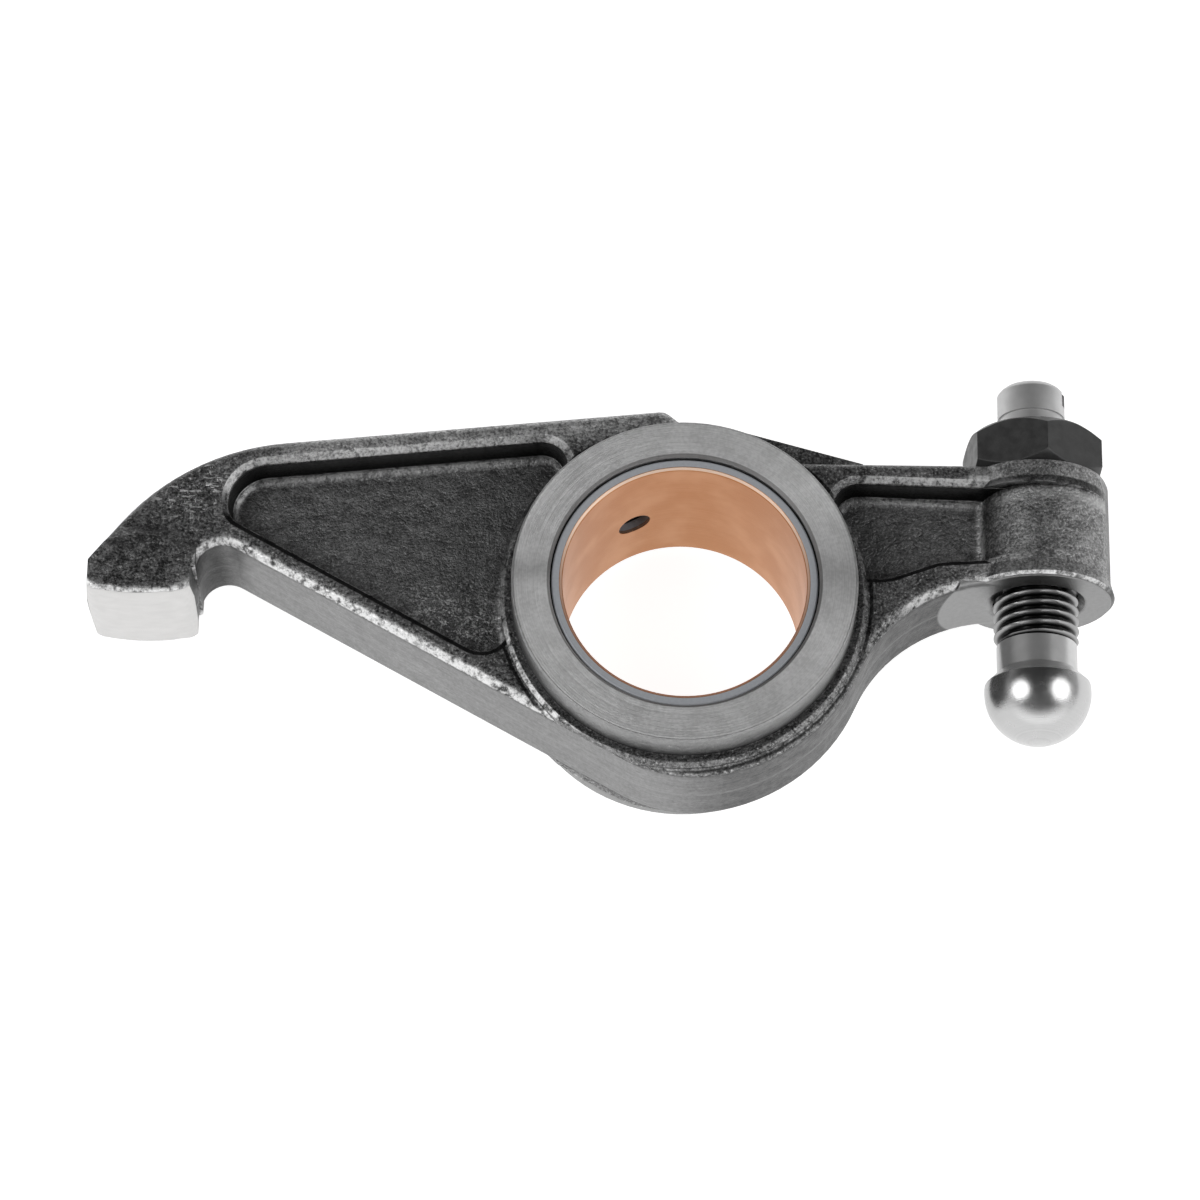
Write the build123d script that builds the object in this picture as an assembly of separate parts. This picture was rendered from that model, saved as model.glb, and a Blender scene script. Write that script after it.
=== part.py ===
"""Rocker arm: forged arm, pressed bush, ball-ended adjusting screw and lock nut.

Millimetres. The origin is the centre of the shaft bore at mid-width. +Z runs along
the bore, +X points to the adjusting screw and +Y to the nut side.
"""
from build123d import *
import math
import os

# ---- shaft boss and bush ----
boss_width = 28.8          # over the two machined ring faces
ring_d = 48.0              # machined ring, outside
ring_edge = 0.4            # chamfer round the ring
mouth_chamfer = 0.4        # bevel at the mouth of the arm's bore, across
mouth_depth = 0.4          # and along the bore
bush_od = 37.3
bush_wall = 1.75
bush_inset = 0.8           # bush end below the ring face
bush_edge = 0.4            # chamfers at the bush ends
oil_hole_d = 4.8
oil_hole_lean = 24.3       # degrees from +Y towards the nose
oil_hole_z = -2.0

# ---- forging, side view ----
boss_r = 26.6              # forged body round the boss
heel_r = 20.0              # underside into the boss
bead_r = 25.6              # forged step round the machined ring
bead_rise = 0.8            # above the flanges
bead_edge = 0.6
flange_width = 16.4        # over the flanges
web_width = 5.8
root_r = 24.6              # boss wall at the pockets
edge_r = 1.6               # rounded flange edges
rim_flare = 0.8            # bevel round a pocket rim
floor_r = 1.3              # fillet round a pocket floor
pocket_corner_r = 3.8
pocket_end_r = (6.0, 3.4)  # outer corners of the long pocket, high and low
pocket_draft = 7.0         # degrees
top_flange = 3.2
lower_flange = 3.3

# ---- nose end of the arm ----
nose_x = -83.8             # outer end of the nose
hook_x = -68.1             # inner side of the nose
top_end = (-2.8, 28.9)     # where the long top line ends above the boss
crest_r = 2.0              # round of that end
top_slope = 0.105
brow_r = 33.0              # arched back of the nose
nose_y = 4.4               # height of the outer corner of the nose
nose_slope = 1.28
nose_corner_r = 5.0
under_x = -25.5            # a point on the straight underside
under_y = -14.2
under_slope = -0.567
gullet_r = 3.7
pocket_end_x = -64.1       # outer end of the long pocket

# ---- ground pad ----
pad_width = 18.7
pad_low = -0.7             # lowest line of the pad
pad_r = 32.0               # crown of the pad
nose_draft = 5.0           # degrees, outer end and back of the nose
hook_draft = 4.0           # degrees, inner side of the nose
pad_corner_r = 2.2
pad_arch_r = 11.7          # raised sides of the pad end under an arch
pad_arch_y = -3.8
pad_arch_slope = 1.57      # run of that end for each mm of depth
pad_edge_r = 0.9

# ---- screw end of the arm ----
screw_x = 49.65            # axis of the adjusting screw
arm_top = 21.0             # nut seat
arm_under = 2.9            # spot face under the boss
throat_r = 22.0            # underside from the boss to the spot face
screw_boss_r = 10.6
collar_r = 11.1
collar_h = 2.6
collar_edge = 0.6          # bevel round the spot face
core_r = 9.5               # recessed middle of the screw boss
core_shift = 1.3           # its axis beyond the screw axis
core_root_r = 1.8          # fillet between it and the pocket floor
boss_edge_r = 1.0
short_rim_high = (18.7, 17.35)  # top rim of the short pocket, above the bore and at the screw
short_rim_low = 3.3        # lower rim beside the boss
short_rim_run = 4.1        # level part of that rim
short_rim_knee = (35.5, 5.9)
short_rim_end = 6.9        # lower rim at the screw
short_rim_r = 5.0
shelf_r = 28.0             # parting-line shelf over the boss
shelf_width = 10.0
shelf_end = (25.3, 22.0)
thread_mouth = 1.1         # countersink at the threaded hole

# ---- screw and nut ----
thread_d = 12.0
thread_clear = 0.05        # radial, stands for the thread play
thread_low = -3.7
thread_run = 1.0           # run-out cone above the neck
neck_d = 11.3
neck_low = -7.8
ball_d = 15.0
ball_y = -10.6
shoulder_drop = 1.8        # cone from the neck to the ball
tip_d = 9.6
tip_low = 27.2
tip_high = 36.0
tip_edge = 0.9
slot_w = 1.6
slot_depth = 3.1
slot_turn = -17.0          # degrees about the screw axis
nut_af = 18.0
nut_h = 7.1
nut_seat_gap = 0.02
nut_turn = 37.2            # degrees about the screw axis
nut_chamfer = 1.5          # along the axis
nut_ring_d = 17.3          # flat left on each face of the nut

flange_half = flange_width / 2
boss_half = boss_width / 2
bore_d = bush_od - 2 * bush_wall
pad_side = pad_low + pad_r - math.sqrt(pad_r**2 - ((hook_x - nose_x) / 2) ** 2)
recess_end_x = screw_x + 2 * collar_r


def under_line(x):
    """Height of the straight underside at x."""
    return under_y + under_slope * (x - under_x)


def crossing(slope, rise, radius):
    """Where a sloping line meets a circle about the bore, on the nose side."""
    a = 1 + slope**2
    b = slope * rise
    x = (-b - math.sqrt(b**2 - a * (rise**2 - radius**2))) / a
    return (x, slope * x + rise)


def heel_centre():
    """Centre of the heel: its arc touches the straight underside and the round of the boss."""
    length = math.sqrt(1 + under_slope**2)
    down = Vector(under_slope, -1) / length
    depth = -under_line(0) / length - heel_r
    across = math.sqrt((boss_r - heel_r) ** 2 - depth**2)
    return down * depth + Vector(1, under_slope) / length * across


def top_line(x):
    """Height of the straight top at x."""
    return top_end[1] + top_slope * (x - top_end[0])


def brow_point():
    """Where the top line would meet the slope of the nose."""
    x = (top_line(0) - nose_y + nose_slope * nose_x) / (nose_slope - top_slope)
    return (x, top_line(x))


def edges_at(solid, x, y, reach=0.6):
    """Upright edges of a solid that stand near a point of the side view."""
    upright = solid.edges().filter_by(Axis.Z)
    return upright.filter_by(lambda e: math.hypot(e.center().X - x, e.center().Y - y) < reach)


def both_sides(shape):
    """A shape and its mirror image across mid-width."""
    return shape + mirror(shape, about=Plane.XY)


def slab(sketch, width):
    """A side-view sketch as a slab about mid-width."""
    return extrude(sketch, width / 2, both=True)


def long_side():
    """Side view of the long arm with the hooked nose, and of the round of the boss."""
    half = (hook_x - nose_x) / 2
    heel = heel_centre()
    down = Vector(under_slope, -1).normalized()
    heel_start = heel + down * heel_r
    heel_end = heel.normalized() * boss_r
    boss_top = Vector(0, boss_r)
    boss_side = (heel_end.normalized() + boss_top.normalized()).normalized() * boss_r
    outline = [
        Line(boss_top, top_end),
        Line(top_end, brow_point()),
        Line(brow_point(), (nose_x, nose_y)),
        Line((nose_x, nose_y), (nose_x, pad_side)),
        ThreePointArc((nose_x, pad_side), (nose_x + half, pad_low), (hook_x, pad_side)),
        Line((hook_x, pad_side), (hook_x, under_line(hook_x))),
        Line((hook_x, under_line(hook_x)), heel_start),
        arc_about(heel, heel_start, heel_end),
        ThreePointArc(heel_end, boss_side, boss_top),
    ]
    return make_face(Curve() + outline)


def long_arm(width):
    """The long arm as a slab with its crest, nose and gullet rounded."""
    arm = slab(long_side(), width)
    arm = fillet(edges_at(arm, *top_end), crest_r)
    arm = fillet(edges_at(arm, hook_x, under_line(hook_x)), gullet_r)
    arm = fillet(edges_at(arm, *brow_point()), brow_r)
    arm = fillet(edges_at(arm, nose_x, nose_y), nose_corner_r)
    toes = edges_at(arm, nose_x, pad_side) + edges_at(arm, hook_x, pad_side)
    return fillet(toes, pad_corner_r)


def flange_slab():
    """Both arms and the round body between them, at flange width, with rounded edges."""
    height = arm_top - arm_under
    short_arm = Pos(screw_x / 2, arm_under + height / 2) * Rectangle(screw_x, height)
    body = long_arm(flange_width) + slab(short_arm, flange_width)
    throat_x = math.sqrt(boss_r**2 - arm_under**2)
    body = fillet(edges_at(body, throat_x, arm_under), throat_r)
    rims = body.faces().filter_by(Axis.Z).edges()
    return fillet(rims, edge_r)


def pocket_tool(sketch):
    """Tool for a pocket on the +Z side: drafted walls and a rounded floor."""
    rim = Plane.XY.offset(flange_half) * sketch
    tool = extrude(rim, flange_half - web_width / 2, dir=(0, 0, -1), taper=pocket_draft)
    tool = fillet(tool.faces().sort_by(Axis.Z)[0].edges(), floor_r)
    flare = extrude(offset(rim, rim_flare), rim_flare, dir=(0, 0, -1), taper=45)
    return tool + flare


def offset_rise(rise, slope, distance):
    """Height at the bore of a sloping line moved square to itself."""
    return rise + distance * math.sqrt(1 + slope**2)


def offset_from(point, slope, distance):
    """A point moved square to a sloping line, upwards for a positive distance."""
    length = math.sqrt(1 + slope**2)
    return (point[0] - distance * slope / length, point[1] + distance / length)


def arc_about(centre, start, end):
    """The shorter arc about a centre from one point to another."""
    centre = Vector(*centre)
    start = Vector(*start)
    end = Vector(*end)
    lean = (start - centre) + (end - centre)
    return ThreePointArc(start, centre + lean.normalized() * (start - centre).length, end)


def long_pocket():
    """Side view of the pocket in the long arm, up to the wall of the boss."""
    r = pocket_corner_r
    high = top_line(0) - top_flange
    low = offset_rise(under_line(0), under_slope, lower_flange)
    high_centre = crossing(top_slope, offset_rise(high, top_slope, -r), root_r + r)
    low_centre = crossing(under_slope, offset_rise(low, under_slope, r), root_r + r)
    high_foot = offset_from(high_centre, top_slope, r)
    low_foot = offset_from(low_centre, under_slope, -r)
    high_touch = Vector(*high_centre) * (root_r / (root_r + r))
    low_touch = Vector(*low_centre) * (root_r / (root_r + r))
    high_end = (pocket_end_x, high + top_slope * pocket_end_x)
    low_end = (pocket_end_x, low + under_slope * pocket_end_x)
    outline = [
        Line(high_foot, high_end),
        Line(high_end, low_end),
        Line(low_end, low_foot),
        arc_about(low_centre, low_foot, low_touch),
        arc_about((0, 0), low_touch, high_touch),
        arc_about(high_centre, high_touch, high_foot),
    ]
    prism = extrude(make_face(Curve() + outline), 1)
    prism = fillet(edges_at(prism, *high_end), pocket_end_r[0])
    prism = fillet(edges_at(prism, *low_end), pocket_end_r[1])
    return prism.faces().sort_by(Axis.Z)[0]


def short_pocket():
    """Side view of the pocket in the short arm, carried on past the screw boss."""
    r = pocket_corner_r
    high, high_screw = short_rim_high
    slope = (high_screw - high) / screw_x
    corner = crossing(-slope, offset_rise(high, slope, -r), root_r + r)
    corner = (-corner[0], corner[1])
    foot = offset_from(corner, slope, r)
    touch = Vector(*corner) * (root_r / (root_r + r))
    low_x = math.sqrt(root_r**2 - short_rim_low**2)
    rise = (low_x + short_rim_run, short_rim_low)
    low_slope = (short_rim_end - short_rim_knee[1]) / (screw_x - short_rim_knee[0])
    high_end = (recess_end_x, high + slope * recess_end_x)
    low_end = (recess_end_x, short_rim_end + low_slope * (recess_end_x - screw_x))
    outline = [
        Line(foot, high_end),
        Line(high_end, low_end),
        Line(low_end, short_rim_knee),
        Line(short_rim_knee, rise),
        Line(rise, (low_x, short_rim_low)),
        arc_about((0, 0), (low_x, short_rim_low), touch),
        arc_about(corner, touch, foot),
    ]
    prism = extrude(make_face(Curve() + outline), 1)
    prism = fillet(edges_at(prism, *short_rim_knee) + edges_at(prism, *rise), short_rim_r)
    return prism.faces().sort_by(Axis.Z)[0]


def bead():
    """Forged step round the machined ring, as far as the flanges reach."""
    width = flange_width + 2 * bead_rise
    disc = Cylinder(bead_r, width)
    disc = chamfer(disc.edges().filter_by(GeomType.CIRCLE), bead_edge)
    return disc & slab(long_side(), width)


def pocketed_slab():
    """Flange slab with the pockets sunk in both sides."""
    body = flange_slab() + shelf() + bead()
    for side_view in (long_pocket(), short_pocket()):
        tool = pocket_tool(side_view)
        body = body - both_sides(tool)
    return body


def boss():
    """Solid boss with its two ring faces."""
    ring = Cylinder(ring_d / 2, boss_width)
    return chamfer(ring.edges().filter_by(GeomType.CIRCLE), ring_edge)


def shelf():
    """Low shelf left at the parting line between the boss and the short arm."""
    lean = math.atan2(shelf_end[1], shelf_end[0])
    touch = lean + math.acos(shelf_r / math.hypot(*shelf_end))
    foot = (shelf_r * math.cos(touch), shelf_r * math.sin(touch))
    wedge = make_face(Polyline((0, 0), foot, shelf_end, (shelf_end[0], arm_under), close=True))
    high_side = Pos(shelf_r / 2, shelf_r / 2) * Rectangle(shelf_r, shelf_r)
    return slab(wedge, shelf_width) + slab(Circle(shelf_r) & high_side, shelf_width)


def screw_boss():
    """Upright boss for the screw with a flared foot at the spot face."""
    height = arm_top - arm_under
    round_in = boss_edge_r * (1 - math.sqrt(0.5))
    profile = Polyline(
        (0, 0),
        (collar_r - collar_edge, 0),
        (collar_r, collar_edge),
        (screw_boss_r, collar_h),
        (screw_boss_r, height - boss_edge_r),
        (screw_boss_r - round_in, height - round_in),
        (screw_boss_r - boss_edge_r, height),
        (0, height),
        close=True,
    )
    return Pos(screw_x, arm_under, 0) * revolve(make_face(profile), Axis.Y)


def core_prism():
    """Upright column between the rims, with its fillets down to the pocket floor."""
    length = arm_top - arm_under - 2 * boss_edge_r
    plane = Plane(origin=(screw_x, arm_under + boss_edge_r, 0), x_dir=(1, 0, 0), z_dir=(0, 1, 0))
    reach = core_r + 2 * core_root_r
    web = Pos(core_shift - reach / 2, 0) * Rectangle(reach, web_width)
    section = Pos(core_shift, 0) * Circle(core_r) + web
    prism = extrude(section, length)
    touch = core_shift - math.sqrt(core_r**2 - (web_width / 2) ** 2)
    roots = prism.edges().filter_by(Axis.Z).filter_by(lambda e: abs(e.center().X - touch) < 0.1)
    return plane * fillet(roots, core_root_r)


def nose_block():
    """Raised sides of the nose above the ground pad."""
    width = 2 * (hook_x - nose_x)
    room = Pos(hook_x - width / 2, 0, 0) * Box(width, 4 * pad_arch_r, pad_width)
    depth = pad_width / 2
    cone = Cone(pad_arch_r + pad_arch_slope * depth, pad_arch_r, depth)
    arch = both_sides(Pos((nose_x + hook_x) / 2, pad_arch_y, depth / 2) * cone)
    block = long_arm(pad_width)
    block = fillet(block.faces().filter_by(Axis.Z).edges(), pad_edge_r)
    back = draft_cut((nose_x, nose_y), math.degrees(math.atan(nose_slope)), nose_draft)
    return (block & room & arch) - back


def draft_cut(point, lean, draft):
    """What a draft from mid-width outwards takes off a side that leans by an angle from +X.

    The side passes through a point of the side view and faces the left of that lean.
    """
    size = 2 * pad_width
    block = Pos(0, size / 2, size / 2) * Box(2 * size, size, size)
    return Pos(*point) * Rot(0, 0, lean) * both_sides(Rot(draft, 0, 0) * block)


def hook_cut():
    """What the draft takes off the inner side of the nose, up to the gullet."""
    gullet_angle = math.pi / 2 - math.atan(-under_slope)
    top = under_line(hook_x) - gullet_r / math.tan(gullet_angle / 2)
    reach = pad_width / 2
    room = Pos(hook_x - reach, top - reach, 0) * Box(2 * reach, 2 * reach, 2 * reach)
    return draft_cut((hook_x, 0), -90, hook_draft) & room


def rocker_arm():
    arm = pocketed_slab() + boss() + nose_block()
    arm = arm - draft_cut((nose_x, 0), 90, nose_draft) - hook_cut()
    return arm + recessed_boss() - bore() - screw_hole() - oil_hole()


def bore():
    """Bore for the bush, with a bevel at each mouth."""
    depth = mouth_depth
    mouth = Pos(0, 0, boss_half - depth / 2) * Cone(bush_od / 2, bush_od / 2 + mouth_chamfer, depth)
    return Cylinder(bush_od / 2, boss_width) + both_sides(mouth)


def recessed_boss():
    """Screw boss with the short pocket carried on round its column."""
    side_view = Plane.XY.offset(web_width / 2) * short_pocket()
    tool = extrude(side_view, boss_half)
    return (screw_boss() - both_sides(tool)) + (core_prism() & screw_boss())


def screw_hole():
    """Threaded hole for the screw, countersunk at the spot face."""
    radius = thread_d / 2 + thread_clear
    bore = Cylinder(radius, 2 * arm_top)
    mouth = Pos(0, 0, thread_mouth / 2) * Cone(radius + thread_mouth, radius, thread_mouth)
    return Pos(screw_x, arm_under, 0) * Rot(-90, 0, 0) * (bore + mouth)


def oil_hole():
    """Oil hole from the bore up through the wall of the boss."""
    drill = Cylinder(oil_hole_d / 2, 2 * boss_r, align=(Align.CENTER, Align.CENTER, Align.MIN))
    return Pos(0, 0, oil_hole_z) * Rot(0, 0, oil_hole_lean) * Rot(-90, 0, 0) * drill


def shaft_bush():
    length = boss_width - 2 * bush_inset
    bush = Cylinder(bush_od / 2, length) - Cylinder(bore_d / 2, length)
    return chamfer(bush.edges().filter_by(GeomType.CIRCLE), bush_edge) - oil_hole()


def adjusting_screw():
    """Ball end, neck, thread and slotted tip, turned about the screw axis."""
    r = ball_d / 2
    shoulder_y = neck_low - shoulder_drop
    shoulder_r = math.sqrt(r**2 - (shoulder_y - ball_y) ** 2)
    outline = [
        ThreePointArc((0, ball_y - r), (r, ball_y), (shoulder_r, shoulder_y)),
        Polyline(
            (shoulder_r, shoulder_y),
            (neck_d / 2, neck_low),
            (neck_d / 2, thread_low),
            (thread_d / 2, thread_low + thread_run),
            (thread_d / 2, tip_low),
            (tip_d / 2, tip_low + (thread_d - tip_d) / 2),
            (tip_d / 2, tip_high - tip_edge),
            (tip_d / 2 - tip_edge, tip_high),
            (0, tip_high),
            (0, ball_y - r),
        ),
    ]
    screw = Pos(screw_x, 0, 0) * revolve(make_face(Curve() + outline), Axis.Y)
    slot = Box(2 * thread_d, 2 * slot_depth, slot_w)
    return screw - Pos(screw_x, tip_high, 0) * Rot(0, slot_turn, 0) * slot


def lock_nut():
    seat = arm_top + nut_seat_gap
    plane = Plane(origin=(screw_x, seat, 0), x_dir=(1, 0, 0), z_dir=(0, 1, 0))
    blank = extrude(RegularPolygon(nut_af / 2, 6, major_radius=False, rotation=nut_turn), nut_h)
    corner_r = nut_af / math.sqrt(3)
    lathe = Pos(0, 0, nut_h / 2) * Cylinder(corner_r, nut_h)
    rims = lathe.edges().filter_by(GeomType.CIRCLE)
    lathe = chamfer(rims, nut_chamfer, corner_r - nut_ring_d / 2)
    hole = Pos(0, 0, nut_h / 2) * Cylinder(thread_d / 2 + thread_clear, 2 * nut_h)
    return plane * ((blank & lathe) - hole)


pieces = {
    "rocker_arm": rocker_arm(),
    "shaft_bush": shaft_bush(),
    "adjusting_screw": adjusting_screw(),
    "lock_nut": lock_nut(),
}
os.makedirs("parts", exist_ok=True)
for name, solid in pieces.items():
    export_step(solid, "parts/" + name + ".step")
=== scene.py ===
import math
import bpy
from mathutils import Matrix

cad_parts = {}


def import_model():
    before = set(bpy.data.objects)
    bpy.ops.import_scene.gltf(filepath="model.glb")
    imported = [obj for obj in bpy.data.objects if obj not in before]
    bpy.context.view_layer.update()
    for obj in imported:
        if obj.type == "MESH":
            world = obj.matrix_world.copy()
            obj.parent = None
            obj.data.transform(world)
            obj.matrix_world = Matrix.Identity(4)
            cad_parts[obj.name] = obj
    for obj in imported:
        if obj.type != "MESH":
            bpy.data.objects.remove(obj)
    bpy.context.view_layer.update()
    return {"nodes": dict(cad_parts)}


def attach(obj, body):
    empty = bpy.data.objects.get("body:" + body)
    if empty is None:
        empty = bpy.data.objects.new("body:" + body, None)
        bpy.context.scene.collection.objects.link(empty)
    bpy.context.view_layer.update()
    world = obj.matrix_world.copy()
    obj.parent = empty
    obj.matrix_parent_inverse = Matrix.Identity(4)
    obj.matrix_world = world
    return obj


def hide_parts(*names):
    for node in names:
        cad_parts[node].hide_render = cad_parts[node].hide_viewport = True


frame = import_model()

from types import SimpleNamespace

import bmesh
import bpy
from mathutils import Matrix, Vector

nodes = frame["nodes"]
scene = bpy.context.scene
MM = 0.001

# ---- sizes of the part, in millimetres, as in its source ----
boss_width = 28.8
ring_d = 48.0
root_r = 24.6
bead_r = 25.6
bead_rise = 0.8
bush_od = 37.3
bore_r = 16.9
mouth_depth = 0.4
mouth_chamfer = 0.4
flange_half = 8.2
web_half = 2.9
top_slope = 0.105
screw_x = 49.65
arm_top = 21.0
arm_under = 2.9
collar_h = 2.6
screw_boss_r = 10.6
thread_d = 12.0
thread_low = -3.7
neck_d = 11.3
neck_low = -7.8
ball_d = 15.0
ball_y = -10.6
shoulder_drop = 1.8
tip_d = 9.6
tip_low = 27.2
tip_high = 36.0
tip_edge = 0.9
slot_w = 1.6
slot_depth = 3.1
slot_turn = -17.0           # degrees about the screw axis

# ---- sizes that only the picture needs ----
thread_pitch = 1.5
thread_depth = 0.61 * thread_pitch
crest_flat = 0.125          # share of the pitch
root_flat = 0.25
low_cone_step = 0.55        # start of the thread's run-out, inside the neck's radius
high_cone_step = 1.0        # and inside the thread's radius at the tip
tip_groove_y = 31.1         # ring groove in the plain tip
tip_groove_depth = 0.22
floor_gap = 0.05            # floor below the lower ring face

# ---- where the arm's skin changes, in millimetres ----
top_line_y = 29.2           # height of the long top line above the bore
nose_back = -66.0           # nose and pad lie beyond this x
pad_high = 2.4
spot_r = 14.0               # spot face under the screw boss
rubbed_at = (-69.5, 16.5)   # bare scratches on the brow
scuffed_at = (-33.0, -5.0)  # scuffs on the floor of the long pocket
black_nose_at = (-76.5, 5.0)
# a painted highlight band, and a painted shadow band just under the collar
highlight_band_y = 15.9         # bands round the screw boss
collar_shadow_band_y = 17.7

# ---- tones, as 8-bit screen greys: one, or the darkest and lightest of a mottle ----
# painted shade on the walls of deep recesses
recess_shade_tone = 3
# painted shade on the pocket lips and painted shadow in the band under the collar
lip_and_collar_shade_tone = 8              # pocket lips and the band under the collar
# painted shade in the crease at the bead's foot
bead_foot_shade_tone = 14            # foot of the bead
# painted shade in corners
corner_shade_tone = 26
nose_tone = 30
scale_tones = (46, 134)
floor_tones = (92, 138)
barrel_tones = (112, 186)
# painted highlight band round the screw boss
highlight_band_tone = 190
top_tones = (126, 218)
fleck_tone = 196
scuff_tone = 222
# rims rubbed bright, partly wear and partly painted highlight; also the painted highlight on the collar's
# rim
wear_and_highlight_tone = 226
side_tones = (122, 140)
shaded_side_tones = (60, 84)
parting_tone = 150
ring_wall_tones = (146, 172)
ring_foot_tone = 124
cut_tones = (194, 220)
mouth_tone = 120
ground_tones = (186, 204)
ground_warmth = 0.01
spot_tones = (126, 146)
# painted shade in the gap round the bush
bush_gap_shade_tone = 20
nut_tones = (58, 82)
nut_worn_tone = 120
screw_tones = (172, 196)
thread_tone = 138
thread_root_tone = 40
plain_tones = (188, 212)    # neck and tip of the screw

# ---- bush, as screen colours ----
bronze_colours = ((184, 122, 70), (200, 144, 100))
bronze_line_colour = (214, 168, 128)
# painted highlight on the bush's lead-in
lead_in_highlight_colour = (236, 214, 196)
backing_colours = ((184, 188, 194), (208, 211, 216))

# ---- studio and camera ----
ceiling = 0.10
front_wall = 2.0
back_wall = 0.6
floor_reach = 3.0
floor_paper = 0.5
floor_glow = 0.92
softbox_distance = 0.6
softbox_size = 0.44
camera_lens = 150
camera_at = (-11.66, -272.13, 647.70)
camera_right = (0.999925, 0.011246, 0.004774)
camera_up = (-0.012217, 0.920436, 0.390702)


# ---------------------------------------------------------------- material graphs
class Graph:
    """Short calls for the nodes of one emptied node tree."""

    def __init__(self, owner, output):
        owner.use_nodes = True
        self.tree = owner.node_tree
        self.tree.nodes.clear()
        self.out = self.node(output)

    def node(self, kind, **settings):
        made = self.tree.nodes.new(kind)
        for key, value in settings.items():
            setattr(made, key, value)
        return made

    def feed(self, socket, value):
        if isinstance(value, bpy.types.NodeSocket):
            self.tree.links.new(value, socket)
        else:
            socket.default_value = value

    def fed(self, made, *values):
        """The node, with its first sockets fed by these values."""
        for socket, value in zip(made.inputs, values):
            self.feed(socket, value)
        return made

    def split(self, vector):
        return self.fed(self.node("ShaderNodeSeparateXYZ"), vector).outputs

    def math(self, operation, *values, clamp=False):
        made = self.node("ShaderNodeMath", operation=operation, use_clamp=clamp)
        return self.fed(made, *values).outputs[0]

    def ramp(self, value, low, high, bottom=0.0, top=1.0):
        """value from low to high becomes bottom to top along a smooth step, held at both ends."""
        made = self.node("ShaderNodeMapRange", interpolation_type="SMOOTHSTEP")
        return self.fed(made, value, low, high, bottom, top).outputs[0]


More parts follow.
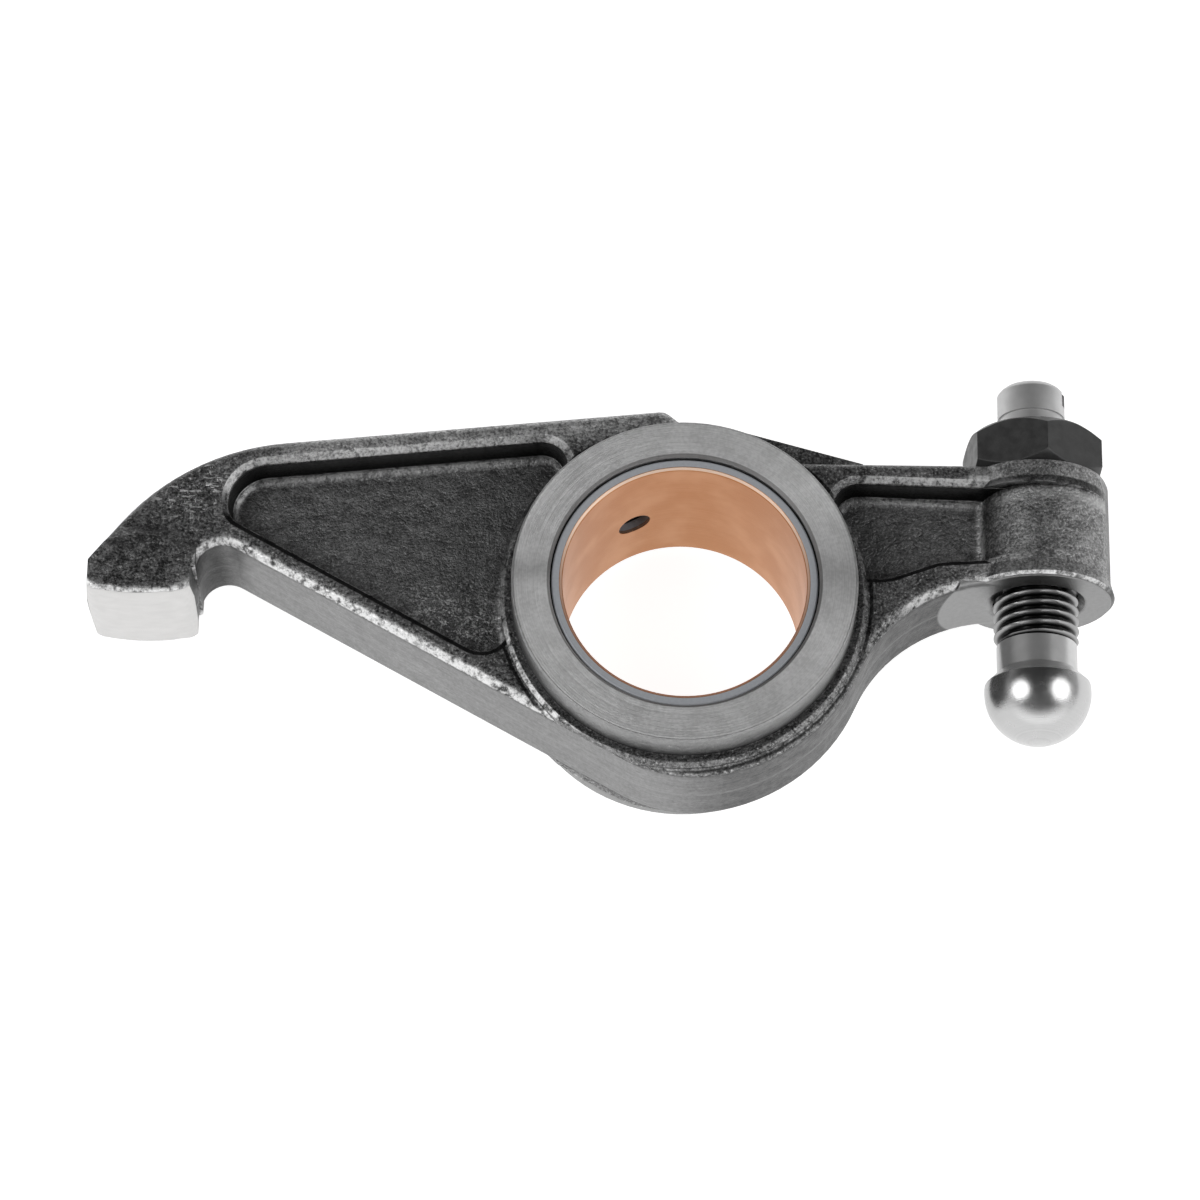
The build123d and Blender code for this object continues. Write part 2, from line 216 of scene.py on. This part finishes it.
class Paint(Graph):
    """A material with one Principled shader, painted by place and facing in the object's own frame."""

    def __init__(self, name):
        self.material = bpy.data.materials.new(name)
        super().__init__(self.material, "ShaderNodeOutputMaterial")
        self.shader = self.node("ShaderNodeBsdfPrincipled")
        self.feed(self.out.inputs[0], self.shader.outputs[0])
        coords = self.node("ShaderNodeTexCoord")
        in_mm = self.fed(self.node("ShaderNodeVectorMath", operation="SCALE"), coords.outputs["Object"])
        in_mm.inputs["Scale"].default_value = 1 / MM
        self.place = in_mm.outputs["Vector"]
        self.x, self.y, self.z = self.split(self.place)
        self.nx, self.ny, self.nz = self.split(coords.outputs["Normal"])

    def vector(self, operation, *values):
        made = self.fed(self.node("ShaderNodeVectorMath", operation=operation), *values)
        return made.outputs["Value" if operation == "LENGTH" else "Vector"]

    def both(self, *masks):
        """Product of masks: 1 only where all of them are."""
        result = masks[0]
        for mask in masks[1:]:
            result = self.math("MULTIPLY", result, mask)
        return result

    def either(self, *masks):
        """Largest of masks."""
        result = masks[-1]
        for mask in reversed(masks[:-1]):
            result = self.math("MAXIMUM", mask, result)
        return result

    def near(self, value, middle, far, close):
        """1 where value is within close of middle, and 0 beyond far."""
        return self.ramp(self.math("ABSOLUTE", self.math("SUBTRACT", value, middle)), far, close)

    def round_to(self, x, y):
        """Distance in the XY plane from the point x, y, in mm."""
        off = self.vector("SUBTRACT", self.place, (x, y, 0))
        return self.vector("LENGTH", self.vector("MULTIPLY", off, (1, 1, 0)))

    def from_screw(self):
        """Distance from the axis of the adjusting screw, in mm."""
        across = self.math("SUBTRACT", self.x, screw_x)
        return self.math("SQRT", self.math("ADD", self.both(across, across), self.both(self.z, self.z)))

    def noise(self, size, detail=2.0, rough=0.5, stretch=(1, 1, 1), lift=0.0):
        """Noise whose lumps are about size mm across, from 0 to 1."""
        place = self.place
        if stretch != (1, 1, 1) or lift:
            place = self.vector("MULTIPLY_ADD", place, stretch, (lift, lift, lift))
        made = self.node("ShaderNodeTexNoise")
        self.feed(made.inputs["Vector"], place)
        made.inputs["Scale"].default_value = 1 / size
        made.inputs["Detail"].default_value = detail
        made.inputs["Roughness"].default_value = rough
        return made.outputs["Fac"]

    def rings(self, value, size, detail=2.0):
        """One-way noise along value, for turned or ground lines."""
        made = self.node("ShaderNodeTexNoise", noise_dimensions="1D")
        self.feed(made.inputs["W"], value)
        made.inputs["Scale"].default_value = 1 / size
        made.inputs["Detail"].default_value = detail
        return made.outputs["Fac"]

    def pits(self, size, edge):
        """1 in the middle of scattered cells size mm apart, and 0 from edge of a cell outwards."""
        made = self.node("ShaderNodeTexVoronoi")
        self.feed(made.inputs["Vector"], self.place)
        made.inputs["Scale"].default_value = 1 / size
        return self.ramp(made.outputs["Distance"], edge, 0.0)

    def openness(self, reach, inside=False):
        """Open share of the space within reach mm, outside the skin or inside it."""
        made = self.node("ShaderNodeAmbientOcclusion", samples=5, inside=inside, only_local=True)
        made.inputs["Distance"].default_value = reach * MM
        return made.outputs["AO"]

    def mix(self, share, first, second):
        made = self.node("ShaderNodeMix", data_type="RGBA")
        for index, value in ((0, share), (6, first), (7, second)):
            self.feed(made.inputs[index], value)
        return made.outputs[2]

    def blend(self, share, first, second):
        made = self.node("ShaderNodeMix", data_type="FLOAT")
        for index, value in ((0, share), (2, first), (3, second)):
            self.feed(made.inputs[index], value)
        return made.outputs[0]

    def coat(self, under, mask, colour, cover):
        """colour laid over under where mask is, at this cover."""
        return self.mix(self.both(mask, cover), under, colour)

    def tones(self, share, pair, warm=0.0):
        """From the first to the second grey of a pair, as share goes from 0 to 1."""
        return self.mix(share, grey(pair[0], warm), grey(pair[1], warm))

    def finish(self, colour, rough, metal, height, depth, edge=None):
        """Links colour, roughness and metallic, and a bump of height over depth mm on rounded edges."""
        self.feed(self.shader.inputs["Base Color"], colour)
        self.feed(self.shader.inputs["Roughness"], rough)
        self.feed(self.shader.inputs["Metallic"], metal)
        bump = self.node("ShaderNodeBump")
        bump.inputs["Strength"].default_value = 1.0
        bump.inputs["Distance"].default_value = depth * MM
        self.feed(bump.inputs["Height"], height)
        if edge:
            bevel = self.node("ShaderNodeBevel", samples=4)
            bevel.inputs["Radius"].default_value = edge * MM
            self.feed(bump.inputs["Normal"], bevel.outputs[0])
        self.feed(self.shader.inputs["Normal"], bump.outputs[0])
        return self.material


def linear(value):
    return ((value / 255 + 0.055) / 1.055) ** 2.4


def grey(value, warm=0.0):
    """A grey of this 8-bit screen value, as a linear colour. warm above 0 leans to brown."""
    level = linear(value)
    return (level * (1 + warm), level, level * (1 - warm), 1)


def screen(red, green, blue):
    """A linear colour for this 8-bit screen colour."""
    return (linear(red), linear(green), linear(blue), 1)


# ---------------------------------------------------------------- the forged arm
def arm_surfaces(p):
    """Masks of the arm's surfaces by how they are finished, and the measures that they come from."""
    half = boss_width / 2
    mouth_r = bush_od / 2 + mouth_chamfer
    at = SimpleNamespace()
    at.from_bore = p.round_to(0, 0)
    at.from_screw = p.from_screw()
    at.height = p.math("ABSOLUTE", p.z)
    at.upright = p.math("ABSOLUTE", p.nz)
    at.above_top = p.math("SUBTRACT", p.y, p.math("MULTIPLY_ADD", p.x, top_slope, top_line_y))
    ring_face = p.both(
        p.ramp(at.height, half - 0.12, half - 0.05),
        p.ramp(at.from_bore, ring_d / 2 + 0.3, ring_d / 2 + 0.1),
    )
    at.ring_wall = p.both(
        p.ramp(at.height, flange_half + bead_rise, flange_half + bead_rise + 0.4),
        p.ramp(at.from_bore, root_r, root_r - 0.5),
    )
    at.ring_foot = p.ramp(at.height, half - 1.0, flange_half + 1.5)
    at.mouth = p.both(
        p.ramp(at.height, half - mouth_depth - 0.1, half - mouth_depth),
        p.ramp(at.from_bore, mouth_r + 0.05, mouth_r - 0.05),
    )
    at.spot = p.both(
        p.ramp(at.from_screw, spot_r, spot_r - 0.4),
        p.ramp(p.y, arm_under + 0.2, arm_under + 0.08),
        p.ramp(p.x, 30, 31),
    )
    at.pad = p.both(
        p.ramp(p.ny, -0.5, -0.6),
        p.ramp(at.upright, 0.4, 0.3),
        p.ramp(p.y, pad_high, pad_high - 0.3),
        p.ramp(p.x, nose_back, nose_back - 1),
    )
    at.trimmed = p.both(
        p.ramp(at.upright, 0.45, 0.2),
        p.ramp(at.height, flange_half - 1.0, flange_half - 1.4),
    )
    at.floors = p.ramp(at.height, web_half + 1.7, web_half + 0.5)
    at.slope = p.both(p.ramp(at.upright, 0.22, 0.42), p.ramp(at.upright, 0.97, 0.85))
    at.barrel = p.both(p.ramp(at.from_screw, 13.5, 11.5), p.ramp(at.from_screw, 8, 9))
    at.turned = p.either(ring_face, at.mouth)
    at.machined = p.either(at.turned, at.spot, at.pad)
    return at


def forged_grit(p):
    """Noises of the forged skin, from the widest lumps to the finest grain."""
    grit = SimpleNamespace()
    grit.lumps = p.noise(9, 2)
    grit.mottle = p.noise(2.2, 4, 0.6)
    grit.patch = p.noise(0.9, 3, 0.6)
    grit.grain = p.noise(0.36, 3, 0.7)
    blotch = p.blend(0.4, grit.patch, grit.mottle)
    grit.speckle = p.blend(0.45, grit.grain, blotch)
    grit.broken = p.both(p.ramp(blotch, 0.38, 0.56, 0.05, 1.0), p.ramp(grit.grain, 0.32, 0.48, 0.55, 1.0))
    return grit


def rim_wear_and_highlight(p, at, grit):
    """Mask of the rims and slopes that are rubbed bright and painted bright as highlight, most where they
    face −y, and of the scratches on the brow.
    """
    solid = p.openness(2.6, inside=True)
    # rims facing −y are painted brighter, as highlight
    convex = p.both(p.ramp(solid, 0.74, 0.50), p.ramp(p.ny, 0.1, -0.35, 0.2, 1.0))
    facing_down = p.ramp(p.ny, 0.02, -0.3)
    pocket_ends = p.both(at.floors, p.ramp(p.nx, -0.15, -0.45), 1.4)
    sloped = p.both(at.slope, p.math("MAXIMUM", facing_down, pocket_ends, clamp=True))

    # The wear and painted highlight are weaker along the top, round the ring, on the pocket floors and
    # facing the screw
    upper = p.both(p.ramp(p.y, 9, 13), p.ramp(p.x, -62, -57), p.ramp(p.x, 10, 20, 1.0, 0.5))
    under_ring = p.both(p.ramp(at.from_bore, 30, 28), p.ramp(p.math("ABSOLUTE", p.x), 17, 9))
    right_ring = p.both(p.ramp(at.from_bore, 32, 30), p.ramp(p.x, 4, 12))
    fade = p.both(
        p.blend(upper, 1.0, 0.25),
        p.blend(under_ring, 1.0, 0.12),
        p.blend(right_ring, 1.0, p.ramp(solid, 0.69, 0.56, 0.12, 0.9)),
        p.blend(at.floors, 1.0, 0.6),
        p.ramp(p.nx, 0.05, 0.4, 1.0, 0.7),
    )
    off_root = p.ramp(at.from_bore, root_r + 0.3, root_r + 0.5)
    bright_edges = p.both(p.either(convex, sloped), off_root, fade, grit.broken)

    scratches = p.either(
        p.ramp(p.noise(0.5, 3, 0.6, (0.3, 1, 1)), 0.58, 0.64),
        p.ramp(p.noise(0.5, 3, 0.6, (1, 0.4, 1), 30), 0.60, 0.66),
    )
    rubbed = p.both(scratches, p.ramp(p.round_to(*rubbed_at), 8, 3), p.ramp(at.upright, 0.8, 0.95))
    return p.either(bright_edges, rubbed)


def scale_colour(p, at, grit, bright_edges, inside, corners):
    """Colour of the forged skin: dark scale with lighter floors, painted shade on walls, lips and
    corners, and bright rims, partly worn and partly painted highlight.
    """
    mottled = p.ramp(grit.speckle, 0.38, 0.62)
    colour = p.tones(mottled, scale_tones)

    # Screw boss, with a painted highlight band, a painted shadow band under the collar and a painted
    # highlight on the collar's rim
    outward = p.ramp(at.upright, 0.3, 0.6)
    highlight_band = p.both(at.barrel, p.near(p.y, highlight_band_y, 1.2, 0.3))
    collar_shadow_band = p.both(at.barrel, p.near(p.y, collar_shadow_band_y, 0.8, 0.4), outward)
    collar_rim_highlight = p.both(
        p.ramp(at.from_screw, screw_boss_r, screw_boss_r + 0.2),
        p.ramp(at.from_screw, 13, 12.5),
        outward,
        grit.broken,
        p.near(p.y, arm_top - collar_h, 0.8, 0.4),
    )
    colour = p.coat(colour, at.barrel, p.tones(mottled, barrel_tones), 0.5)
    colour = p.coat(colour, highlight_band, grey(highlight_band_tone), 0.5)
    colour = p.coat(colour, collar_rim_highlight, grey(wear_and_highlight_tone), 0.8)

    # Pocket floors, top flange and nose
    colour = p.coat(colour, at.floors, p.tones(p.ramp(grit.speckle, 0.36, 0.64), floor_tones), 0.8)
    rubbed_top = p.both(
        p.ramp(at.above_top, -5.5, -2.0),
        p.ramp(p.x, -64, -50),
        p.ramp(p.x, 10, -2),
        p.ramp(at.upright, 0.4, 0.7),
    )
    colour = p.coat(colour, rubbed_top, p.tones(p.ramp(grit.speckle, 0.4, 0.6), top_tones), 0.9)
    flecks = p.ramp(grit.grain, 0.58, 0.70)
    colour = p.coat(colour, flecks, grey(fleck_tone), p.blend(at.floors, 0.8, 0.35))
    scuffs = p.both(
        p.ramp(p.round_to(*scuffed_at), 11, 4),
        at.floors,
        p.ramp(p.blend(0.4, grit.grain, grit.patch), 0.50, 0.60),
    )
    colour = p.coat(colour, scuffs, grey(scuff_tone), 0.7)
    black_nose = p.both(p.ramp(p.round_to(*black_nose_at), 8.5, 4), p.ramp(grit.patch, 0.62, 0.42))
    colour = p.coat(colour, black_nose, grey(nose_tone), 0.45)

    # Painted shade in corners, on walls and pocket lips, and at the bead's foot; bright rims, partly worn
    # and partly painted highlight
    colour = p.coat(colour, corners, grey(corner_shade_tone), 0.7)
    colour = p.coat(colour, collar_shadow_band, grey(lip_and_collar_shade_tone), 0.85)
    recess_shade = p.both(inside, p.ramp(at.upright, 0.6, 0.3))
    colour = p.coat(colour, recess_shade, grey(recess_shade_tone), 0.99)
    pocket_lip_shade = p.both(
        at.slope,
        p.ramp(p.ny, 0.15, 0.4),
        p.ramp(at.height, 6.2, 6.8),
        p.ramp(at.above_top, -2.4, -2.9),
        p.ramp(p.x, nose_back - 1, nose_back),
        p.either(p.ramp(p.x, 14, 12), p.ramp(p.y, 20.2, 19.6)),
    )
    # painted shade on the pocket lips, where the flare faces away
    colour = p.coat(colour, pocket_lip_shade, grey(lip_and_collar_shade_tone), 0.95)
    colour = p.coat(colour, bright_edges, grey(wear_and_highlight_tone), 0.95)
    # painted shade in the crease at the bead's foot
    bead_foot_shade = p.both(
        p.ramp(at.from_bore, bead_r + 0.15, bead_r + 0.35),
        p.ramp(at.from_bore, bead_r + 0.85, bead_r + 0.65),
        p.ramp(at.height, flange_half - 0.8, flange_half - 0.4),
        p.ramp(grit.mottle, 0.25, 0.45, 0.5, 1.0),
    )
    return p.coat(colour, bead_foot_shade, grey(bead_foot_shade_tone), 0.85)


def side_colour(p, at, grit):
    """Colour of the trimmed sides: fine streaks along them, darker where they face the screw."""
    lines = p.blend(0.5, p.rings(p.z, 0.6, 2), p.noise(0.5, 3, 0.5, (1, 1, 0.5)))
    streaks = p.ramp(lines, 0.35, 0.65)
    colour = p.tones(streaks, side_tones)
    colour = p.mix(p.ramp(p.nx, -0.3, 0.4), colour, p.tones(streaks, shaded_side_tones))
    parting = p.both(p.ramp(at.height, 0.5, 0.2), at.trimmed, p.ramp(grit.mottle, 0.3, 0.6))
    return p.coat(colour, parting, grey(parting_tone), 0.4)


def forged_steel():
    """The arm: forged scale with bright rims, partly worn and partly painted highlight, painted shade in
    its hollows, trimmed sides, and turned, spot-faced and ground faces.
    """
    p = Paint("forged_steel")
    at = arm_surfaces(p)
    grit = forged_grit(p)
    bright_edges = rim_wear_and_highlight(p, at, grit)
    open_air = p.openness(5)
    # masks for painted shade in recesses and corners
    inside = p.ramp(open_air, 0.96, 0.84)
    corners = p.ramp(open_air, 0.75, 0.5)

    colour = scale_colour(p, at, grit, bright_edges, inside, corners)
    trimmed = p.both(at.trimmed, p.ramp(inside, 0.9, 0.2))
    colour = p.coat(colour, trimmed, side_colour(p, at, grit), 0.9)
    ring_wall = p.mix(at.ring_foot, p.tones(p.noise(0.5, 3), ring_wall_tones), grey(ring_foot_tone))
    colour = p.coat(colour, at.ring_wall, ring_wall, 0.8)

    lathe = p.rings(at.from_bore, 0.10, 2)
    cloud = p.blend(0.5, p.noise(0.5, 3), p.noise(3.0, 3))
    cut = p.tones(p.ramp(p.blend(0.3, cloud, lathe), 0.36, 0.64), cut_tones)
    cut = p.coat(cut, at.mouth, grey(mouth_tone), 0.8)
    ground = p.tones(p.noise(1.0, 3, 0.5, (0.25, 3, 1)), ground_tones, ground_warmth)
    colour = p.mix(at.turned, colour, cut)
    colour = p.mix(at.spot, colour, p.tones(p.noise(0.6, 3), spot_tones))
    colour = p.mix(at.pad, colour, ground)

    rough = p.blend(bright_edges, p.ramp(grit.mottle, 0.3, 0.7, 0.38, 0.50), 0.30)
    rough = p.blend(at.machined, rough, p.blend(at.turned, 0.34, 0.62))
    metal = p.blend(at.machined, 0.92, p.blend(at.turned, 1.0, 0.78))
    skin = p.math("ADD", p.both(grit.lumps, 2.0), p.both(grit.mottle, 1.2))
    skin = p.math("ADD", skin, p.both(p.blend(0.5, grit.patch, grit.grain), 1.3))
    skin = p.math("SUBTRACT", skin, p.pits(5.0, 0.10))
    skin = p.both(skin, p.blend(at.trimmed, 1.0, 0.4))
    height = p.blend(at.machined, skin, p.both(lathe, p.blend(at.turned, 0.1, 0.5)))

    # The turned lines stretch the reflections on the ring face
    around = p.node("ShaderNodeTangent", direction_type="RADIAL", axis="Z")
    p.feed(p.shader.inputs["Tangent"], around.outputs[0])
    p.feed(p.shader.inputs["Anisotropic"], p.both(at.turned, 0.8))
    p.shader.inputs["Anisotropic Rotation"].default_value = 0.25
    return p.finish(colour, rough, metal, height, depth=0.18, edge=0.35)


# ---------------------------------------------------------------- bush, nut and screw
def bush_bronze():
    """The bush: a bronze lining with a painted highlight on its lead-in, the grey end of its steel
    backing, and painted shade in the gap at its outer edge.
    """
    p = Paint("bush_bronze")
    from_bore = p.round_to(0, 0)
    end_face = p.math("SUBTRACT", 1.0, p.ramp(from_bore, bore_r + 0.50, bore_r + 0.42))
    # painted highlight on the lead-in chamfer
    lead_in_highlight = p.both(
        p.ramp(from_bore, bore_r + 0.04, bore_r + 0.14),
        p.ramp(from_bore, bore_r + 0.42, bore_r + 0.34),
    )
    # painted shade in the gap at the bush's outer edge
    outer_gap_shade = p.ramp(from_bore, bush_od / 2 - 0.28, bush_od / 2 - 0.18)
    lines = p.rings(p.z, 0.18, 3)
    low, high = (screen(*colour) for colour in bronze_colours)
    colour = p.mix(p.ramp(p.noise(7, 3, 0.5), 0.35, 0.7), low, high)
    colour = p.mix(p.ramp(lines, 0.3, 0.75, 0, 0.35), colour, screen(*bronze_line_colour))
    low, high = (screen(*backing) for backing in backing_colours)
    colour = p.mix(end_face, colour, p.mix(p.noise(0.4, 3), low, high))
    colour = p.coat(colour, lead_in_highlight, screen(*lead_in_highlight_colour), 0.8)
    colour = p.mix(outer_gap_shade, colour, grey(bush_gap_shade_tone))
    rough = p.ramp(lines, 0.2, 0.8, 0.34, 0.46)
    return p.finish(colour, rough, p.blend(end_face, 0.9, 0.4), lines, depth=0.012, edge=0.15)


def nut_steel():
    """The nut: black oxide, rubbed grey on its corners."""
    p = Paint("nut_oxide")
    mottle = p.noise(1.6, 4, 0.6)
    grain = p.noise(0.25, 3)
    bright_edges = p.ramp(p.openness(1.2, inside=True), 0.55, 0.25)
    colour = p.tones(mottle, nut_tones)
    colour = p.coat(colour, bright_edges, grey(nut_worn_tone), p.ramp(grain, 0.35, 0.65, 0.1, 0.5))
    rough = p.ramp(mottle, 0.3, 0.7, 0.36, 0.5)
    height = p.math("ADD", mottle, p.both(grain, 0.4))
    return p.finish(colour, rough, 0.6, height, depth=0.02, edge=0.25)


def screw_steel():
    """The screw: turned steel with a darker thread, a plain neck and tip, and a polished ball."""
    p = Paint("screw_steel")
    lines = p.rings(p.y, 0.12, 3)
    cloud = p.noise(1.6, 3)
    threads = p.both(p.ramp(p.y, thread_low - 0.1, thread_low), p.ramp(p.y, tip_low + 0.6, tip_low + 0.5))
    root = p.both(threads, p.ramp(p.from_screw(), 5.75, 5.3))
    ball = p.ramp(p.y, neck_low - 1.4, neck_low - 1.6)
    tip = p.ramp(p.y, tip_low + 1.0, tip_low + 1.2)
    plain = p.either(tip, p.near(p.y, (neck_low + thread_low) / 2, 2.1, 1.9))
    colour = p.tones(p.blend(0.4, lines, cloud), screw_tones)
    colour = p.coat(colour, threads, grey(thread_tone), 0.6)
    colour = p.mix(root, colour, grey(thread_root_tone))
    colour = p.mix(plain, colour, p.tones(cloud, plain_tones))
    rough = p.blend(ball, p.blend(tip, 0.30, 0.46), p.ramp(cloud, 0.3, 0.7, 0.22, 0.28))
    rough = p.blend(threads, rough, 0.38)
    height = p.math("ADD", lines, p.both(p.noise(0.3, 2), 0.5))
    return p.finish(colour, rough, p.blend(plain, 1.0, 0.75), height, depth=0.006)


def dress(node, material):
    """Puts a material on a CAD node's object, whose shape stays as it is."""
    for material_slot in nodes[node].material_slots:
        material_slot.link = "OBJECT"
        material_slot.material = material


# ---------------------------------------------------------------- the adjusting screw
def link_object(name, data):
    made = bpy.data.objects.new(name, data)
    scene.collection.objects.link(made)
    return made


def link_mesh(name, mesh):
    data = bpy.data.meshes.new(name)
    mesh.to_mesh(data)
    mesh.free()
    return link_object(name, data)


def screw_profile():
    """Rows of (height, radius) from the ball's pole up to the tip's middle, in mm.
    The radius is None where the thread sets it."""
    ball_steps = 40
    steps_per_pitch = 12
    r = ball_d / 2
    shoulder_y = neck_low - shoulder_drop
    last = math.acos((shoulder_y - ball_y) / r)
    rows = []
    for i in range(1, ball_steps + 1):
        a = math.pi - (math.pi - last) * i / ball_steps
        rows.append((ball_y + r * math.cos(a), r * math.sin(a)))
    shoulder_r = rows[-1][1]
    for share in (0.06, 0.5, 0.9):
        rows.append((shoulder_y + shoulder_drop * share, shoulder_r + (neck_d / 2 - shoulder_r) * share))
    for y in (neck_low, neck_low + 0.15, (neck_low + thread_low) / 2, thread_low - 0.02):
        rows.append((y, neck_d / 2))
    step = thread_pitch / steps_per_pitch
    for i in range(int((tip_low - thread_low) / step) + 1):
        rows.append((thread_low + i * step, None))
    tip_r = tip_d / 2
    groove_r = tip_r - tip_groove_depth
    return rows + [
        (tip_low + 0.1, thread_d / 2 - high_cone_step),
        (tip_low + 1.2, tip_r),
        (tip_groove_y - 0.35, tip_r),
        (tip_groove_y - 0.25, groove_r),
        (tip_groove_y + 0.1, groove_r),
        (tip_groove_y + 0.2, tip_r),
        (tip_high - tip_edge - 0.1, tip_r),
        (tip_high - tip_edge, tip_r - 0.03),
        (tip_high - tip_edge * 0.5, tip_r - tip_edge * 0.42),
        (tip_high - 0.06, tip_r - tip_edge * 0.95),
        (tip_high, tip_r - tip_edge - 0.12),
        (tip_high, tip_r / 2),
    ]


def thread_radius(y, turn):
    """Radius of the helical thread at this height and turn, run out by a cone at each end."""
    phase = ((y - thread_low) / thread_pitch - turn) % 1.0
    off_crest = abs(2 * phase - 1)
    cut = min(1.0, max(0.0, (off_crest - crest_flat) / (1 - crest_flat - root_flat)))
    radius = thread_d / 2 - thread_depth * cut
    low_cone = neck_d / 2 - low_cone_step + (y - thread_low)
    high_cone = thread_d / 2 - high_cone_step + (tip_low - y)
    return min(radius, low_cone, high_cone)


def adjusting_screw():
    """The screw with a cut thread, which stands for the plain CAD screw."""
    around = 80
    mesh = bmesh.new()
    loops = []
    for y, radius in screw_profile():
        loop = []
        for i in range(around):
            turn = i / around
            r = thread_radius(y, turn) if radius is None else radius
            a = 2 * math.pi * turn
            loop.append(mesh.verts.new(((screw_x + r * math.cos(a)) * MM, y * MM, -r * math.sin(a) * MM)))
        loops.append(loop)
    for low, high in zip(loops, loops[1:]):
        for i in range(around):
            j = (i + 1) % around
            mesh.faces.new((low[i], low[j], high[j], high[i]))
    for loop, y in ((loops[0], ball_y - ball_d / 2), (loops[-1], tip_high)):
        pole = mesh.verts.new((screw_x * MM, y * MM, 0))
        for i in range(around):
            mesh.faces.new((loop[i], loop[(i + 1) % around], pole))
    bmesh.ops.recalc_face_normals(mesh, faces=mesh.faces)
    piece = link_mesh("adjusting_screw_cut", mesh)
    cut_slot(piece)
    smooth_by_angle(piece, 30)
    piece.data.materials.clear()
    piece.data.materials.append(screw_steel())
    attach(piece, "screw")
    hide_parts("adjusting_screw")


def cut_slot(piece):
    """Saws the screwdriver slot across the tip."""
    block = bmesh.new()
    bmesh.ops.create_cube(block, size=1)
    size = Matrix.Diagonal((2 * thread_d * MM, 2 * slot_depth * MM, slot_w * MM, 1))
    turn = Matrix.Rotation(math.radians(slot_turn), 4, "Y")
    place = Matrix.Translation((screw_x * MM, tip_high * MM, 0))
    bmesh.ops.transform(block, matrix=place @ turn @ size, verts=block.verts)
    cutter = link_mesh("slot", block)
    boolean = piece.modifiers.new("slot", "BOOLEAN")
    boolean.operation, boolean.solver, boolean.object = "DIFFERENCE", "EXACT", cutter
    bpy.context.view_layer.update()
    cut = bpy.data.meshes.new_from_object(piece.evaluated_get(bpy.context.evaluated_depsgraph_get()))
    piece.modifiers.clear()
    piece.data = cut
    bpy.data.objects.remove(cutter)


def smooth_by_angle(piece, degrees):
    """Smooth shading that keeps edges sharper than this angle."""
    mesh = bmesh.new()
    mesh.from_mesh(piece.data)
    for face in mesh.faces:
        face.smooth = True
    for edge in mesh.edges:
        edge.smooth = len(edge.link_faces) == 2 and edge.calc_face_angle() < math.radians(degrees)
    mesh.to_mesh(piece.data)
    mesh.free()


# ---------------------------------------------------------------- floor, light and camera
def floor():
    """A sheet of paper that is white to the camera and in reflections, and still takes the shadow."""
    data = bpy.data.meshes.new("floor")
    level = (-boss_width / 2 - floor_gap) * MM
    corners = [(x * floor_reach, y * floor_reach, level) for x, y in ((-1, -1), (1, -1), (1, 1), (-1, 1))]
    data.from_pydata(corners, [], [(0, 1, 2, 3)])
    plane = link_object("floor", data)
    material = bpy.data.materials.new("floor")
    graph = Graph(material, "ShaderNodeOutputMaterial")
    paper = graph.fed(graph.node("ShaderNodeBsdfDiffuse"), (floor_paper, floor_paper, floor_paper, 1))
    rays = graph.node("ShaderNodeLightPath").outputs
    mirrored = graph.math("ADD", rays["Is Glossy Ray"], rays["Is Transmission Ray"])
    seen = graph.math("ADD", rays["Is Camera Ray"], mirrored, clamp=True)
    glow = graph.node("ShaderNodeEmission")
    graph.feed(glow.inputs["Strength"], graph.math("MULTIPLY", seen, floor_glow))
    lit = graph.fed(graph.node("ShaderNodeAddShader"), paper.outputs[0], glow.outputs[0])
    graph.feed(graph.out.inputs[0], lit.outputs[0])
    data.materials.append(material)


def world():
    """A dark ceiling over a wall of paper that is brightest on the push-rod side."""
    scene.world = bpy.data.worlds.new("studio")
    graph = Graph(scene.world, "ShaderNodeOutputWorld")
    way = graph.split(graph.node("ShaderNodeTexCoord").outputs["Generated"])
    rise = graph.ramp(way["Z"], 0.20, 0.62, 1.0, ceiling)
    front = graph.ramp(way["Y"], -0.95, 0.1, front_wall, back_wall)
    light = graph.node("ShaderNodeBackground")
    graph.feed(light.inputs["Strength"], graph.math("MULTIPLY", rise, front))
    graph.feed(graph.out.inputs[0], light.outputs[0])


def softbox(name, direction, level):
    """A round softbox, as bright as level, that looks at the part from this direction."""
    data = bpy.data.lights.new(name, "AREA")
    data.shape, data.size = "DISK", softbox_size
    data.energy = level * math.pi * math.pi * softbox_size * softbox_size / 4
    lamp = link_object(name, data)
    way = Vector(direction).normalized()
    lamp.location = way * softbox_distance
    lamp.rotation_mode = "QUATERNION"
    lamp.rotation_quaternion = way.to_track_quat("Z", "Y")


def camera():
    """A long lens that looks down at the ring face from the push-rod side, rolled a little."""
    data = bpy.data.cameras.new("camera")
    data.lens, data.sensor_width = camera_lens, 36
    data.clip_start, data.clip_end = 0.05, 20
    eye = link_object("camera", data)
    right, up = Vector(camera_right), Vector(camera_up)
    turn = Matrix((right, up, right.cross(up))).transposed().to_4x4()
    eye.matrix_world = Matrix.Translation(Vector(camera_at) * MM) @ turn
    scene.camera = eye


dress("rocker_arm", forged_steel())
dress("shaft_bush", bush_bronze())
dress("lock_nut", nut_steel())
adjusting_screw()
floor()
world()
softbox("left_softbox", (-0.635, -0.17, 0.754), 3.0)
softbox("right_softbox", (0.748, -0.12, 0.652), 2.8)
camera()

scene.view_settings.view_transform = "Standard"
bpy.context.view_layer.update()
